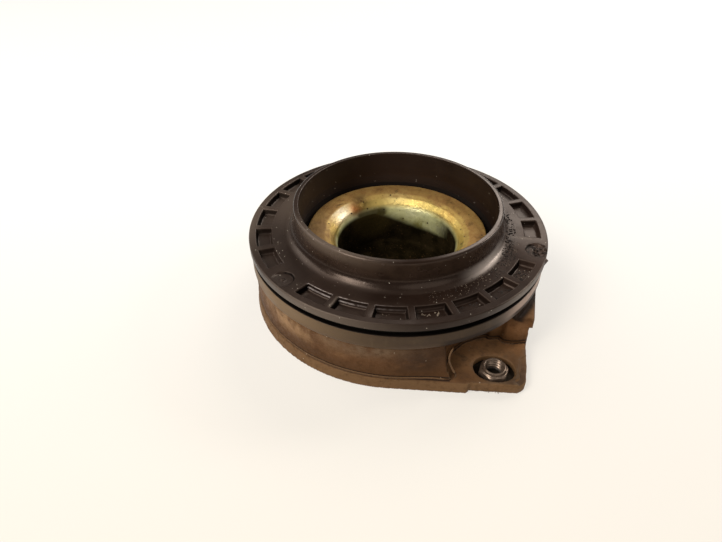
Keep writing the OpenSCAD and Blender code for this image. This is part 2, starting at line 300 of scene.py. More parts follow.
class Graph:
    """A material's nodes, with sizes in millimetres on the piece's own coordinates."""

    def __init__(self, name):
        self.material = bpy.data.materials.new(name)
        self.material.use_nodes = True
        self.nodes = self.material.node_tree.nodes
        self.shader = self.nodes["Principled BSDF"]
        self.place = self.add("TexCoord").outputs["Object"]
        self.colour = None

    def add(self, kind, **settings):
        node = self.nodes.new("ShaderNode" + kind)
        for key, value in settings.items():
            setattr(node, key, value)
        return node

    def put(self, value, socket):
        if isinstance(value, bpy.types.NodeSocket):
            self.material.node_tree.links.new(value, socket)
        else:
            socket.default_value = value

    def fill(self, node, **inputs):
        """Sets a node's sockets, given with underscores for spaces, and returns its outputs."""
        for key, value in inputs.items():
            self.put(value, node.inputs[key.replace("_", " ")])
        return node.outputs

    def feed(self, node, *values):
        """Sets a node's first sockets in order and returns its outputs."""
        for value, socket in zip(values, node.inputs):
            self.put(value, socket)
        return node.outputs

    def noise(self, size, seed, detail=4.0, roughness=0.6, stretch=(1, 1, 1)):
        place = self.fill(self.add("Mapping"), Vector=self.place, Scale=stretch)["Vector"]
        node = self.add("TexNoise", noise_dimensions="4D")
        scale = 1 / (size * MM)
        return self.fill(node, Vector=place, Scale=scale, W=seed, Detail=detail, Roughness=roughness)["Fac"]

    def specks(self, size, share, seed):
        """1 in scattered dots of about that size, 0 elsewhere."""
        shift = (seed, seed, seed)
        place = self.fill(self.add("Mapping"), Vector=self.place, Location=shift)["Vector"]
        cells = self.fill(self.add("TexVoronoi"), Vector=place, Scale=1 / (size * 3 * MM))
        chosen = self.fill(self.add("SeparateColor"), Color=cells["Color"])["Red"]
        dot = self.ramp(cells["Distance"], [(0.1, 1.0), (0.22, 0.0)])
        return self.times(dot, self.math("LESS_THAN", chosen, share))

    def ramp(self, value, stops):
        """A smooth curve through (position, value) stops, values being numbers or colours."""
        node = self.add("ValToRGB")
        node.color_ramp.interpolation = "EASE"
        elements = node.color_ramp.elements
        while len(elements) < len(stops):
            elements.new(0.5)
        for element, (position, level) in zip(elements, stops):
            element.position = position
            element.color = (level, level, level, 1) if isinstance(level, float) else (*level, 1)
        self.put(value, node.inputs["Fac"])
        return node.outputs["Color"]

    def mix(self, share, first, second):
        node = self.add("Mix", data_type="RGBA")
        self.put(share, node.inputs[0])
        for value, socket in ((first, node.inputs[6]), (second, node.inputs[7])):
            self.put((*value, 1) if isinstance(value, tuple) else value, socket)
        return node.outputs[2]

    def math(self, operation, first, second):
        return self.feed(self.add("Math", operation=operation), first, second)[0]

    def vector(self, operation, first, second=(0, 0, 0)):
        return self.feed(self.add("VectorMath", operation=operation), first, second)

    def along(self, direction):
        """The place measured along a direction, in millimetres."""
        return self.vector("DOT_PRODUCT", self.place, [value / MM for value in direction])["Value"]

    def ease(self, value, start, end):
        """0 before start, 1 after end, smooth between; falling where start is above end."""
        node = self.add("MapRange", interpolation_type="SMOOTHSTEP")
        return self.fill(node, Value=value, From_Min=start, From_Max=end)["Result"]

    def near(self, centre, radius):
        """1 at a place in millimetres, fading to 0 at the radius."""
        away = self.vector("DISTANCE", self.place, [value * MM for value in centre])["Value"]
        return self.ease(away, radius * MM, 0)

    def from_axis(self):
        """Distance from the part's axis in millimetres."""
        level = self.vector("MULTIPLY", self.place, (1 / MM, 1 / MM, 0))["Vector"]
        return self.vector("LENGTH", level)["Value"]

    def times(self, *values):
        """Product of shares."""
        return reduce(partial(self.math, "MULTIPLY"), values)

    def most(self, *values):
        """Largest of shares."""
        return reduce(partial(self.math, "MAXIMUM"), values)

    def plus(self, first, second):
        return self.math("ADD", first, second)

    def rest(self, share):
        """What a share leaves of 1."""
        return self.math("SUBTRACT", 1.0, share)

    def band(self, value, start, full, last, end):
        """1 between full and last, fading to 0 at start and end."""
        return self.times(self.ease(value, start, full), self.ease(value, end, last))

    def lay(self, colour, *shares):
        """A coat of a colour over the colour so far, covering by the product of shares."""
        self.colour = self.mix(self.times(*shares), self.colour, colour)

    def facing_up(self):
        """How far the surface faces straight up, from -1 to 1."""
        normal = self.add("NewGeometry").outputs["Normal"]
        return self.fill(self.add("SeparateXYZ"), Vector=normal)["Z"]

    def facing(self, direction):
        """How far the surface faces a direction in the piece's own frame, from -1 to 1."""
        normal = self.add("TexCoord").outputs["Normal"]
        return self.vector("DOT_PRODUCT", normal, direction)["Value"]

    def edges(self, low, high):
        """Near 1 along outward edges of the mesh."""
        bend = self.add("NewGeometry").outputs["Pointiness"]
        return self.ramp(bend, [(low, 0.0), (high, 1.0)])

    def bump(self, height, depth):
        """A fine relief of that depth in millimetres."""
        self.set(Normal=self.fill(self.add("Bump"), Height=height, Distance=depth * MM)["Normal"])

    def set(self, **inputs):
        self.fill(self.shader, **inputs)


def seat_shade(g, above, from_axis):
    """Where shade is painted black on the seat: the pocket walls and the gate marks' far walls, with dark
    patches on the torn edge.
    """
    in_pocket = g.times(g.ease(above, -0.25, -0.9), g.band(from_axis, 54.0, 55.0, 62.2, 63.0))
    turned_right = g.facing(RIGHTWARD)
    left_turned = g.times(g.ease(turned_right, -0.35, -0.7), g.near((56, -20, 34), 36))
    far_walls = g.times(g.ease(g.facing(NEARWARD), 0.3, 0.65), g.ease(g.along(NEARWARD), 20, 0))
    walls = g.most(left_turned, g.ease(turned_right, 0.3, 0.65), g.times(far_walls, 0.6))
    black = g.times(walls, in_pocket)
    in_gate = g.times(g.ease(above, -0.03, -0.2), g.ease(g.facing_up(), 0.985, 0.9))
    for direction in GATE_DIRECTIONS:
        far_wall = [(GATE_RING_R - GATE_R) * part for part in (math.cos(direction), math.sin(direction))]
        beside = g.ease(g.near((*far_wall, FLANGE_Z - 0.4), 5.5), 0.0, 0.4)
        black = g.most(black, g.times(beside, in_gate))
    torn = g.times(g.ease(g.near((47.8, 37.4, 34.5), 7), 0.0, 0.4), g.ease(g.noise(1.6, 8), 0.44, 0.54))
    return g.most(black, g.times(torn, 0.9))


def seat_plastic():
    """Dark satin plastic, browner with dust on what faces up, rosier on one side, with pale specks."""
    g = Graph("seat_plastic")
    height = g.along((0, 0, 1))
    above = g.math("SUBTRACT", height, FLANGE_Z)
    from_axis = g.from_axis()
    grain = g.noise(1.2, 2, detail=6)
    dusty = g.times(g.ease(g.facing_up(), 0.3, 0.95), g.ease(g.noise(16, 1), 0.35, 0.7))
    g.colour = g.mix(dusty, (0.012, 0.0064, 0.0044), (0.019, 0.0108, 0.0076))
    g.lay((0.05, 0.03, 0.022), g.near((44, 40, 36), 44), g.ease(g.noise(9, 6), 0.25, 0.6), 0.6)
    # Painted light: the rim's side face is lighter at the front left and on the right, and the far-left
    # flange edge is lighter, where the lamps fall.
    rim_face = g.ease(from_axis, FLANGE_R - 0.7, FLANGE_R - 0.2)
    rim_painted_light = g.plus(g.near((30, -57, 33), 46), g.near((63, 17, 33), 20))
    g.lay((0.098, 0.077, 0.062), rim_face, rim_painted_light, 0.9)
    g.lay((0.088, 0.068, 0.054), g.ease(from_axis, 58, 64), g.near((-36, -54, 35), 34), 0.8)
    on_fillet = g.band(above, 0.1, 0.5, 1.5, 4.5)
    # Painted highlight: a pale streak along the fillet on the right side.
    g.lay((0.42, 0.365, 0.33), g.near((46.5, 15, 37), 20), on_fillet, 0.85)
    below_rim = g.ease(height, COLLAR_Z - 0.1, COLLAR_Z - 1.5)
    handled = g.times(g.ease(above, 2.5, 6), g.ease(g.noise(11, 7), 0.2, 0.6))
    g.lay((0.042, 0.026, 0.018), handled, below_rim, 0.8)
    # Painted light: the collar's outer wall is lighter on its left, and its upper front is lighter as a
    # painted reflection of the bright room.
    g.lay((0.082, 0.06, 0.046), g.near((-36, -26, 43), 34), below_rim, 0.8)
    g.lay((0.12, 0.092, 0.072), g.near((12, -44, 45), 34), g.ease(above, 6.5, 10.5), 0.7)
    g.lay((0.05, 0.033, 0.024), g.ease(grain, 0.5, 0.75), 0.12)
    quiet = g.times(g.ease(from_axis, 60.8, 62.2), g.near((52, -36, 35), 48))
    worn = g.times(g.edges(0.52, 0.6), g.ease(height, COLLAR_Z, COLLAR_Z - 3.5))
    g.lay((0.1, 0.078, 0.06), worn, g.rest(quiet), 0.45)
    inside = g.ease(from_axis, COLLAR_IN_R + 0.4, COLLAR_IN_R + 0.1)
    # Painted shade: the collar's inside is darker, with painted light on its far wall.
    g.lay((0.0085, 0.0046, 0.0036), inside, 0.8)
    g.lay((0.026, 0.015, 0.011), inside, g.near((-36, 22, 42), 32), 0.8)
    # Painted shade: pocket walls and gate marks' far walls black, and dark patches on the torn edge.
    black = seat_shade(g, above, from_axis)
    g.lay((0.0022, 0.0015, 0.0011), black, 0.9)
    # Painted highlights: pale glints along the ledges and top edges of the pockets' inner walls at the front
    # left.
    ledge = g.band(above, -2.0, -1.75, -1.5, -1.2)
    top_edge = g.band(above, -0.4, -0.15, -0.06, 0.0)
    towards_axis = g.times(g.band(from_axis, 54.8, 55.1, 55.8, 56.0), g.near((24, -50, 34), 36))
    ledge_glints = g.times(g.most(ledge, top_edge), towards_axis, g.ease(g.noise(2.5, 9), 0.35, 0.6))
    g.lay((0.34, 0.3, 0.29), ledge_glints, 0.75)
    g.lay((0.5, 0.45, 0.38), g.specks(0.35, 0.05, 3))
    # Painted shade: black under the flange, where the gap to the cap shows.
    under_flange_shade = g.ease(height, UNDER_Z, UNDER_Z - 0.4)
    g.lay((0.003, 0.0022, 0.0018), under_flange_shade, 0.9)
    smooth_foot = g.ease(above, 0.2, 1.2)
    rough = g.ramp(g.noise(7, 4), [(0.3, 0.36), (0.75, 0.48)])
    rough = g.math("SUBTRACT", rough, g.times(smooth_foot, 0.17))
    dull_rim = g.times(g.near((42, -20, 47), 26), g.ease(height, COLLAR_Z - 0.8, COLLAR_Z - 0.4))
    dull = g.plus(g.times(under_flange_shade, 0.5), g.plus(g.times(inside, 0.2), g.times(dull_rim, 0.3)))
    on_flat = g.times(g.ease(g.facing_up(), 0.96, 0.995), g.ease(above, 0.3, 0.05))
    right_flat = g.times(on_flat, g.ease(g.near((57, 4, 35), 60), 0.0, 0.6))
    right_inside = g.times(inside, g.near((26, 37, 40), 34))
    matte = g.most(right_flat, dull_rim, right_inside, black, g.times(quiet, 0.6))
    g.set(Base_Color=g.colour, Roughness=g.plus(rough, dull))
    g.set(Specular_IOR_Level=g.math("SUBTRACT", 0.4, g.times(matte, 0.36)))
    g.set(Specular_Tint=(1.0, 0.78, 0.66, 1))
    g.bump(g.plus(grain, g.noise(0.4, 5, detail=2)), 0.014)
    return g.material


def cap_plastic():
    """The seat's plastic under brown dust, thicker below, with painted light on the front left and right, and
    painted shade low over the ear and on faces that look up under the flange.
    """
    g = Graph("cap_plastic")
    height = g.along((0, 0, 1))
    patches = g.noise(14, 11, stretch=(1, 1, 2.5))
    streaks = g.noise(3, 12, stretch=(1, 1, 0.25))
    g.colour = g.ramp(patches, [(0.3, (0.032, 0.02, 0.0118)), (0.7, (0.052, 0.034, 0.02))])
    # Painted light: paler on the front left, and pale pink on the right where a lamp falls.
    g.lay((0.176, 0.117, 0.064), g.near((10, -63, 25), 54), 0.85)
    g.lay((0.37, 0.278, 0.238), g.ease(g.near((58, 26, 26), 30), 0.0, 0.7), 0.95)
    g.lay((0.1, 0.068, 0.04), g.ease(streaks, 0.5, 0.95), 0.6)
    low = g.plus(height, g.times(patches, 4.0))
    g.lay((0.085, 0.052, 0.031), g.ease(low, 27.0, 23.0), 0.6)
    # Painted shade: the cap's lower edge is black over the ear, where the pocket under it is shaded.
    over_ear = g.plus(g.near((63, -9, 21), 21), g.near((60, 24, 21), 24))
    low_edge_shade = g.times(g.ease(over_ear, 0.15, 0.55), g.ease(height, 25.1, 24.0))
    g.lay((0.01, 0.005, 0.003), low_edge_shade, 0.9)
    # Painted shade: faces that look up, on the cap's top under the flange, are nearly black.
    g.lay((0.004, 0.003, 0.0025), g.ease(g.facing_up(), 0.5, 0.9))
    g.set(Base_Color=g.colour, Roughness=g.ramp(patches, [(0.3, 0.42), (0.7, 0.6)]))
    g.set(Specular_IOR_Level=0.25, Specular_Tint=(1.0, 0.8, 0.68, 1))
    g.bump(g.noise(0.6, 13, detail=4), 0.05)
    return g.material


def rubber():
    """Orange-brown moulded rubber: dusty on the wall, dark above the lip, worn and dirty on the pads; painted
    light and shade on the wall, the pads, in the ear's pocket and under the cap ring.
    """
    g = Graph("rubber")
    height = g.along((0, 0, 1))
    broad = g.noise(22, 21, detail=5, stretch=(1, 1, 2))
    fine = g.noise(2.5, 22, detail=6, roughness=0.7)
    g.colour = g.ramp(broad, [
        (0.3, (0.056, 0.0235, 0.008)), (0.55, (0.1, 0.045, 0.0165)), (0.75, (0.158, 0.08, 0.034)),
    ])
    # Partly dust and partly painted light: the wall's front left is lighter tan where the low lamp falls.
    dusty = g.times(g.near((14, -62, 19), 30), g.ease(height, 10.0, 18.0))
    g.lay((0.34, 0.21, 0.11), dusty, g.ease(g.noise(8, 25, stretch=(1, 1, 0.6)), 0.36, 0.6), 0.75)
    below_cap = g.times(g.near((46, -44, 20), 34), g.ease(height, 13.0, 19.5))
    g.lay((0.15, 0.1, 0.062), below_cap, g.ease(g.noise(7, 28), 0.25, 0.6), 0.75)
    # Painted shade: dark smears on the wall under the cap ring beside the ear.
    shade_smear = g.ease(g.noise(10, 26, stretch=(1, 1, 2)), 0.25, 0.5)
    g.lay((0.03, 0.0145, 0.007), g.near((57, -28, 13), 18), shade_smear, 0.85)
    # Faces that look up are lighter orange: partly dirt, partly painted light.
    pad = g.ease(g.facing_up(), 0.6, 0.95)
    g.lay((0.215, 0.108, 0.044), pad, 0.85)
    # Painted light: the ear's pocket is lighter, against the shade that the flange casts there.
    g.lay((0.4, 0.215, 0.1), g.near((58, 2, 8), 19), 0.75)
    # Painted shade: the pads are darker towards the ear's tip.
    g.lay((0.042, 0.022, 0.0105), pad, g.near((80, 3, 5), 30), 0.92)
    g.lay((0.095, 0.06, 0.036), pad, g.ease(g.noise(5, 30, detail=5), 0.48, 0.66), 0.6)
    # Painted light: the pocket's back wall is lit tan.
    g.lay((0.31, 0.148, 0.06), g.near((62, 18, 9), 12), 0.85)
    g.lay((0.085, 0.04, 0.017), g.near((67, -15, 4), 13), 0.8)
    # Painted shade: near black in the recess under the cap ring by the ear.
    recess_shade = g.ramp(g.noise(3, 29), [(0.35, (0.006, 0.0022, 0.0008)), (0.65, (0.022, 0.0095, 0.0045))])
    slanted = g.plus(g.along((0, 0.6, 1)), g.times(g.noise(2.5, 27), 2.0))
    recess = g.times(g.ease(g.near((60, 24, 19.5), 17), 0.0, 0.35), g.ease(slanted, 27.2, 28.4))
    g.lay(recess_shade, recess, g.ease(g.along((0.92, 0.38, 0)), 66.6, 64.4), 0.95)
    side = g.rest(pad)
    g.lay((0.066, 0.0285, 0.0085), g.band(height, 5.1, 5.9, 7.0, 14.0), side, 0.75)
    g.lay((0.19, 0.11, 0.052), g.ease(height, 5.3, 4.6), side, 0.6)
    g.lay((0.036, 0.018, 0.008), g.ease(fine, 0.46, 0.72), 0.5)
    # Painted shade: dark lines in the creases beside the lip's groove and bead.
    crease_shades = [g.band(height, z - 0.55, z - 0.2, z + 0.2, z + 0.55) for z in CREASE_SHADE_HEIGHTS]
    steep = g.rest(g.ease(g.facing_up(), 0.8, 0.95))
    g.lay((0.014, 0.007, 0.004), g.plus(*crease_shades), steep, 0.85)
    g.lay((0.22, 0.15, 0.09), g.edges(0.52, 0.6), 0.4)
    g.lay((0.35, 0.27, 0.2), g.specks(0.5, 0.04, 23))
    g.set(Base_Color=g.colour, Roughness=g.ramp(fine, [(0.3, 0.5), (0.7, 0.75)]), Specular_IOR_Level=0.14)
    g.bump(g.plus(fine, g.noise(0.7, 24, detail=3)), 0.12)
    return g.material


def cup_painted_shadow(g, height, blotch):
    """Where painted shadow darkens the cup's inside: under the slanting edge of a cast shadow, far left, on
    the near side and at the bottom.
    """
    tilted = g.plus(g.along((-0.313, 0.702, 1.0)), g.times(blotch, 3.0))
    far_left = g.ease(g.near((-26, 3.5, 24.5), 12), 0.0, 0.45)
    near_side_shade = g.plus(g.along((-1.0, 0.2, 0.3)), g.times(g.noise(4, 39, stretch=(1, 1, 0.3)), 10.0))
    return g.most(
        g.times(g.ease(tilted, 43.5, 37.0), g.ease(height, 27.5, 23.5)),
        g.times(far_left, g.ease(height, 28.0, 25.5), 0.92),
        g.times(g.ease(near_side_shade, 34.0, 10.0), g.ease(height, 28.5, 24.5)),
        g.ease(height, 9.0, 7.5),
    )


def zinc_yellow():
    """Yellow zinc on pressed steel: gold on the bell mouth, stained on the flange, black inside with painted
    shadow.
    """
    g = Graph("zinc_yellow")
    height = g.along((0, 0, 1))
    blotch = g.noise(9, 31, detail=5)
    fine = g.noise(1.6, 32, detail=6, roughness=0.7)
    g.colour = g.ramp(blotch, [
        (0.32, (0.45, 0.285, 0.075)), (0.5, (0.63, 0.46, 0.135)), (0.68, (0.53, 0.42, 0.13)),
    ])
    # Painted shade: darker at the back right, holding down a lamp's highlight.
    g.lay((0.285, 0.215, 0.062), g.near((-10.7, 27.9, 29), 16), 0.85)
    # Painted highlight: brighter gold at the back of the bell mouth.
    g.lay((0.78, 0.62, 0.25), g.near((-25.5, 18, 30), 11), 0.7)
    glare = g.times(g.near((-27.6, -12.5, 29.4), 13), g.ease(g.facing_up(), 0.98, 0.88))
    g.lay((0.5, 0.46, 0.37), glare, 0.7)
    g.lay((0.3, 0.19, 0.08), g.near((-14, -27, 29.4), 13), 0.7)
    greenish = g.ease(height, 28.0, 24.8)
    pale_green = g.ramp(g.noise(6, 35), [
        (0.3, (0.36, 0.35, 0.11)), (0.5, (0.8, 0.82, 0.43)), (0.72, (0.95, 0.97, 0.62)),
    ])
    g.lay(pale_green, greenish, 0.85)
    level = g.plus(g.facing_up(), g.times(g.math("SUBTRACT", g.noise(4, 43), 0.5), 0.3))
    flat = g.times(g.ease(level, 0.74, 1.0), g.ramp(blotch, [(0.25, 0.7), (0.6, 1.0)]))
    flat = g.times(flat, g.rest(g.times(glare, 0.85)))
    stained = g.ramp(g.noise(6, 36, detail=6, roughness=0.7), [
        (0.32, (0.13, 0.058, 0.018)), (0.45, (0.27, 0.138, 0.044)),
        (0.56, (0.33, 0.19, 0.06)), (0.7, (0.39, 0.235, 0.085)),
    ])
    g.lay(stained, flat, 0.92)
    g.lay((0.13, 0.072, 0.03), flat, g.near((-20, -32, 31), 28), 0.7)
    g.lay((0.26, 0.07, 0.008), g.near((-28.5, -4.2, 28.2), 6.0), 0.9)
    g.lay((0.08, 0.04, 0.009), g.near((-31.0, 0.5, 29.5), 8.0), g.ease(g.noise(4, 40), 0.2, 0.55))
    # Painted shadow inside the cup: dark and dull, with its metal and shine taken away.
    painted_shadow = cup_painted_shadow(g, height, blotch)
    shadow_tone = g.ramp(g.noise(7, 37), [(0.35, (0.006, 0.0044, 0.0018)), (0.7, (0.018, 0.0125, 0.0055))])
    shadow_tone = g.mix(g.ease(g.near((-26.3, 3, 21), 16), 0.0, 0.6), shadow_tone, (0.034, 0.024, 0.008))
    g.lay(shadow_tone, painted_shadow)
    g.lay((0.11, 0.06, 0.025), g.ease(fine, 0.6, 0.78))
    g.lay((0.03, 0.018, 0.01), g.specks(0.9, 0.22, 33))
    g.lay((0.1, 0.06, 0.025), g.specks(0.4, 0.22, 34), 0.8)
    streaks = g.noise(2.2, 38, detail=5, roughness=0.7, stretch=(1, 0.4, 1))
    g.lay((0.035, 0.019, 0.01), flat, g.ease(streaks, 0.6, 0.66), 0.6)
    rough = g.ramp(fine, [(0.3, 0.26), (0.7, 0.48)])
    dull = g.plus(g.times(flat, 0.28), g.times(painted_shadow, 0.35))
    outside_shadow = g.rest(painted_shadow)
    bare = g.math("SUBTRACT", 0.94, g.plus(g.times(flat, 0.5), g.times(greenish, 0.45)))
    clear = g.times(g.rest(g.most(painted_shadow, flat)), g.plus(0.12, g.times(glare, 0.75)))
    g.set(Base_Color=g.colour, Roughness=g.plus(rough, dull), Metallic=g.times(bare, outside_shadow))
    g.set(Specular_IOR_Level=g.times(outside_shadow, 0.3), Coat_Weight=clear, Coat_Roughness=0.3)
    g.bump(g.plus(g.plus(fine, g.noise(5, 34)), g.times(g.noise(0.7, 42, detail=2), 0.5)), 0.3)
    return g.material


def nut_steel():
    """Dull plated steel with brown dirt, black and dull low in the bore with painted shade."""
    g = Graph("nut_steel")
    fine = g.noise(1.3, 41, detail=6, roughness=0.7)
    g.colour = g.ramp(fine, [
        (0.35, (0.08, 0.053, 0.036)), (0.55, (0.22, 0.16, 0.12)), (0.75, (0.4, 0.32, 0.26)),
    ])
    deep_bore_shade = g.ease(g.along((0, 0, 1)), 2.2, 0.8)
    g.lay((0.012, 0.008, 0.005), deep_bore_shade)
    g.set(Base_Color=g.colour, Metallic=g.times(g.rest(deep_bore_shade), g.ramp(fine, [(0.35, 0.3), (0.6, 0.85)])))
    g.set(Roughness=g.plus(g.ramp(fine, [(0.3, 0.46), (0.7, 0.24)]), g.times(deep_bore_shade, 0.3)))
    g.bump(fine, 0.05)
    return g.material


def plain_metal(name, colour, darker, roughness, seed):
    """Steel with faint brushed streaks around the axis."""
    g = Graph(name)
    streaks = g.noise(2, seed, detail=5, stretch=(1, 1, 6))
    g.set(Base_Color=g.mix(streaks, darker, colour), Metallic=1.0)
    g.set(Roughness=g.ramp(streaks, [(0.3, roughness), (0.7, roughness + 0.18)]))
    g.bump(streaks, 0.01)
    return g.material


def plain_plastic(name, colour, darker, roughness, specular, seed):
    """Moulded plastic or rubber with a fine grain."""
    g = Graph(name)
    grain = g.noise(1.5, seed, detail=5)
    g.set(Base_Color=g.mix(grain, darker, colour), Specular_IOR_Level=specular)
    g.set(Roughness=g.ramp(grain, [(0.3, roughness), (0.7, roughness + 0.15)]))
    g.bump(grain, 0.04)
    return g.material


def dirt(name, dark, middle, pale, seed):
    """Dry crumbs of road dirt."""
    g = Graph(name)
    tone = g.noise(0.8, seed, detail=3)
    g.set(Base_Color=g.ramp(tone, [(0.3, dark), (0.55, middle), (0.8, pale)]), Roughness=0.95)
    g.bump(tone, 0.1)
    return g.material


SEAT_PLASTIC = seat_plastic()
CAP_PLASTIC = cap_plastic()
RUBBER = rubber()
ZINC_YELLOW = zinc_yellow()
NUT_STEEL = nut_steel()
DARK_DIRT = dirt("dark_dirt", (0.006, 0.004, 0.003), (0.016, 0.01, 0.007), (0.06, 0.042, 0.03), 51)
PALE_DIRT = dirt("pale_dirt", (0.09, 0.066, 0.048), (0.2, 0.155, 0.115), (0.42, 0.36, 0.29), 52)
PLATE_STEEL = plain_metal("plate_steel", (0.06, 0.046, 0.034), (0.03, 0.022, 0.016), 0.5, 61)
RACE_STEEL = plain_metal("race_steel", (0.6, 0.6, 0.62), (0.45, 0.45, 0.47), 0.2, 62)
BALL_STEEL = plain_metal("ball_steel", (0.7, 0.7, 0.72), (0.6, 0.6, 0.62), 0.08, 63)
CAGE_PLASTIC = plain_plastic("cage_plastic", (0.56, 0.5, 0.36), (0.44, 0.38, 0.26), 0.4, 0.5, 64)
SEAL_RUBBER = plain_plastic("seal_rubber", (0.006, 0.005, 0.004), (0.003, 0.003, 0.002), 0.8, 0.1, 65)


# Spring seat

# Distances into a pocket and its depth there: at plain walls, and at the wall towards the axis with its ledge
WALL_STEPS = [-0.35, -0.12, 0, 0.12, 0.3, 0.55, 0.95]
WALL_DEPTHS = [0, 0.05, 0.25, 0.9, 2.0, 2.5, POCKET_DEPTH]
LEDGE_STEPS = [-0.35, -0.12, 0, 0.08, 0.2, 0.4, 0.5, 0.7, 1.0]
LEDGE_DEPTHS = [0, 0.05, 0.3, 0.95, 1.6, 1.75, 2.3, 2.6, POCKET_DEPTH]
POCKET_MARGIN, GATE_COLUMNS = 0.7, 44


def place_columns():
    """Columns of the seat's grid as (place centre, kind, value).

    Along a pocket's left and right walls the value is the distance into the pocket. On its floor, and where
    a gate mark's place is divided evenly, it is a share of the half width.
    """
    edge = [-WEB_HALF, -0.4, -0.15, *WALL_STEPS[2:]]
    columns = []
    for place in range(PLACES):
        centre = GATE_ANGLE + place * 360 / PLACES
        if place % GATE_EVERY == 0:
            columns += [(centre, "even", share) for share in np.linspace(-1, 1, GATE_COLUMNS, endpoint=False)]
            continue
        columns += [(centre, "left", into) for into in edge]
        columns += [(centre, "inner", share) for share in (-0.6, -0.2, 0.2, 0.6)]
        columns += [(centre, "right", into) for into in reversed(edge[1:])]
    return columns


def column_angle(column, r):
    """Angle of a column at a radius, in degrees."""
    centre, kind, value = column
    half = 180 / PLACES
    if kind == "even":
        return centre + value * half
    into = WALL_STEPS[-1] if kind == "inner" else value
    edge = half - math.degrees(math.asin((WEB_HALF + into) / r))
    return centre + edge * {"left": -1, "right": 1, "inner": value}[kind]


def seat_profile():
    """Rings of the seat from the inner skirt out under the flange, over its top and up the collar."""
    under = rounded([
        (COLLAR_IN_R, SKIRT_Z, 0.3), (SKIRT_R, SKIRT_Z, 0.4), (SKIRT_R, SKIRT_Z + 1, 0.2),
        (NECK_R, SKIRT_Z + 1, 0.2), (NECK_R, RACE_BED_Z, 0), (FIN_IN_R, RACE_BED_Z, 0),
        (FIN_IN_R, FIN_Z, 0.3), (FIN_OUT_R, FIN_Z, 0.3), (FIN_OUT_R, UNDER_Z, 0), (FLANGE_R, UNDER_Z, 0.25),
        (FLANGE_R, FLANGE_Z, 0.6), (FILLET_END_R, FLANGE_Z, 0), (COLLAR_IN_R, FLANGE_Z + FILLET_R, 0),
    ])[:-2]
    top = [64.0, 63.5, 63.0]
    top += [POCKET_OUT_R - step for step in (-POCKET_MARGIN, *WALL_STEPS)]
    top += list(np.linspace(POCKET_OUT_R - WALL_STEPS[-1], POCKET_IN_R + LEDGE_STEPS[-1], 15)[1:-1])
    top += [POCKET_IN_R + step for step in reversed(LEDGE_STEPS)]
    top += [54.5, 54.0, 53.0, 52.0, 51.0]
    top = np.array([(r, FLANGE_Z) for r in top])
    fillet = arc((FILLET_END_R, FLANGE_Z + FILLET_R), FILLET_R, 270, 180, 16)
    wall = np.array([(COLLAR_R, 41.5), (COLLAR_R, 43), (COLLAR_R, 44.6)])
    rim = rounded([
        (COLLAR_R, 45.4, 0), (COLLAR_R, COLLAR_Z, 0.9), (COLLAR_IN_R, COLLAR_Z, 0.35), (COLLAR_IN_R, 45, 0),
    ])
    inner = np.array([(COLLAR_IN_R, z) for z in (43, 40, 36, 32, 28, 25)])
    return np.concatenate([under, top, fillet, wall, rim, inner])


def make_spring_seat():
    profile = seat_profile()
    columns = place_columns()
    r = np.repeat(profile[:, :1], len(columns), 1)
    z = np.repeat(profile[:, 1:], len(columns), 1)
    ring_r = np.clip(profile[:, 0], POCKET_IN_R - POCKET_MARGIN, POCKET_OUT_R + POCKET_MARGIN)
    angle = np.radians([[column_angle(column, radius) for column in columns] for radius in ring_r])
    on_top = z > FLANGE_Z - 0.01
    unwalled = {"even": WALL_STEPS[0], "inner": WALL_STEPS[-1]}
    sideways = np.array([unwalled.get(kind, value) for _, kind, value in columns])[None]
    wall_depth = np.interp(np.minimum(POCKET_OUT_R - r, sideways), WALL_STEPS, WALL_DEPTHS)
    depth = np.minimum(np.interp(r - POCKET_IN_R, LEDGE_STEPS, LEDGE_DEPTHS), wall_depth)
    on_flange = on_top & (r > FILLET_END_R)
    z = z - np.where(on_flange, depth, 0)
    spike = np.exp(-((np.degrees(angle) - SPIKE_ANGLE) / 0.5) ** 2 - ((z - SPIKE_Z) / 0.4) ** 2)
    r = r + np.where(r > FLANGE_R - 0.5, SPIKE_REACH * spike, 0)
    x, y = r * np.cos(angle), r * np.sin(angle)
    for direction in GATE_DIRECTIONS:
        away = np.hypot(x - GATE_RING_R * math.cos(direction), y - GATE_RING_R * math.sin(direction))
        tilted = ease(GATE_RING_R - r, -GATE_R, GATE_R * 0.7)
        recess = GATE_DEPTH * tilted * ease(away, GATE_R + 0.15, GATE_R - 0.3) * ease(r, 64.3, 63.0)
        stub = GATE_DEPTH * 0.6 * ease(away, GATE_STUB_R * 1.3, GATE_STUB_R * 0.6)
        z = z - np.where(on_flange, recess - stub, 0)
        if direction == GATE_DIRECTIONS[0]:
            points = np.stack([x, y, z], -1)
            torn = ease(away, 5.6, 3.0) * ease(r, 57.5, 62)
            rough = value_noise(points, 1.1, 1) + 0.7 * value_noise(points, 0.55, 2)
            z = z - np.where(z > UNDER_Z + 1, torn * (0.45 + 0.8 * rough), 0)
    points, faces = np.stack([x, y, z], -1), ring_faces(*r.shape)
    add_mesh("spring_seat_moulding", points, faces, SEAT_PLASTIC, "seat", ["spring_seat"])


make_spring_seat()


# Bearing cap and cup

def make_ring(name, corners, material, node, longest, wobble):
    """A turned ring with rounded corners and slightly uneven walls, in place of a node of the mount."""
    points = turned(refined(rounded(corners), longest), RING_COLUMNS)
    flat = points * np.array([1, 1, 0.5])
    uneven = value_noise(flat, 9.0, 5)[..., None] * wobble
    points = points + unit(points * np.array([1, 1, 0])) * uneven
    add_mesh(name, points, ring_faces(*points.shape[:2]), material, "mount", [node])


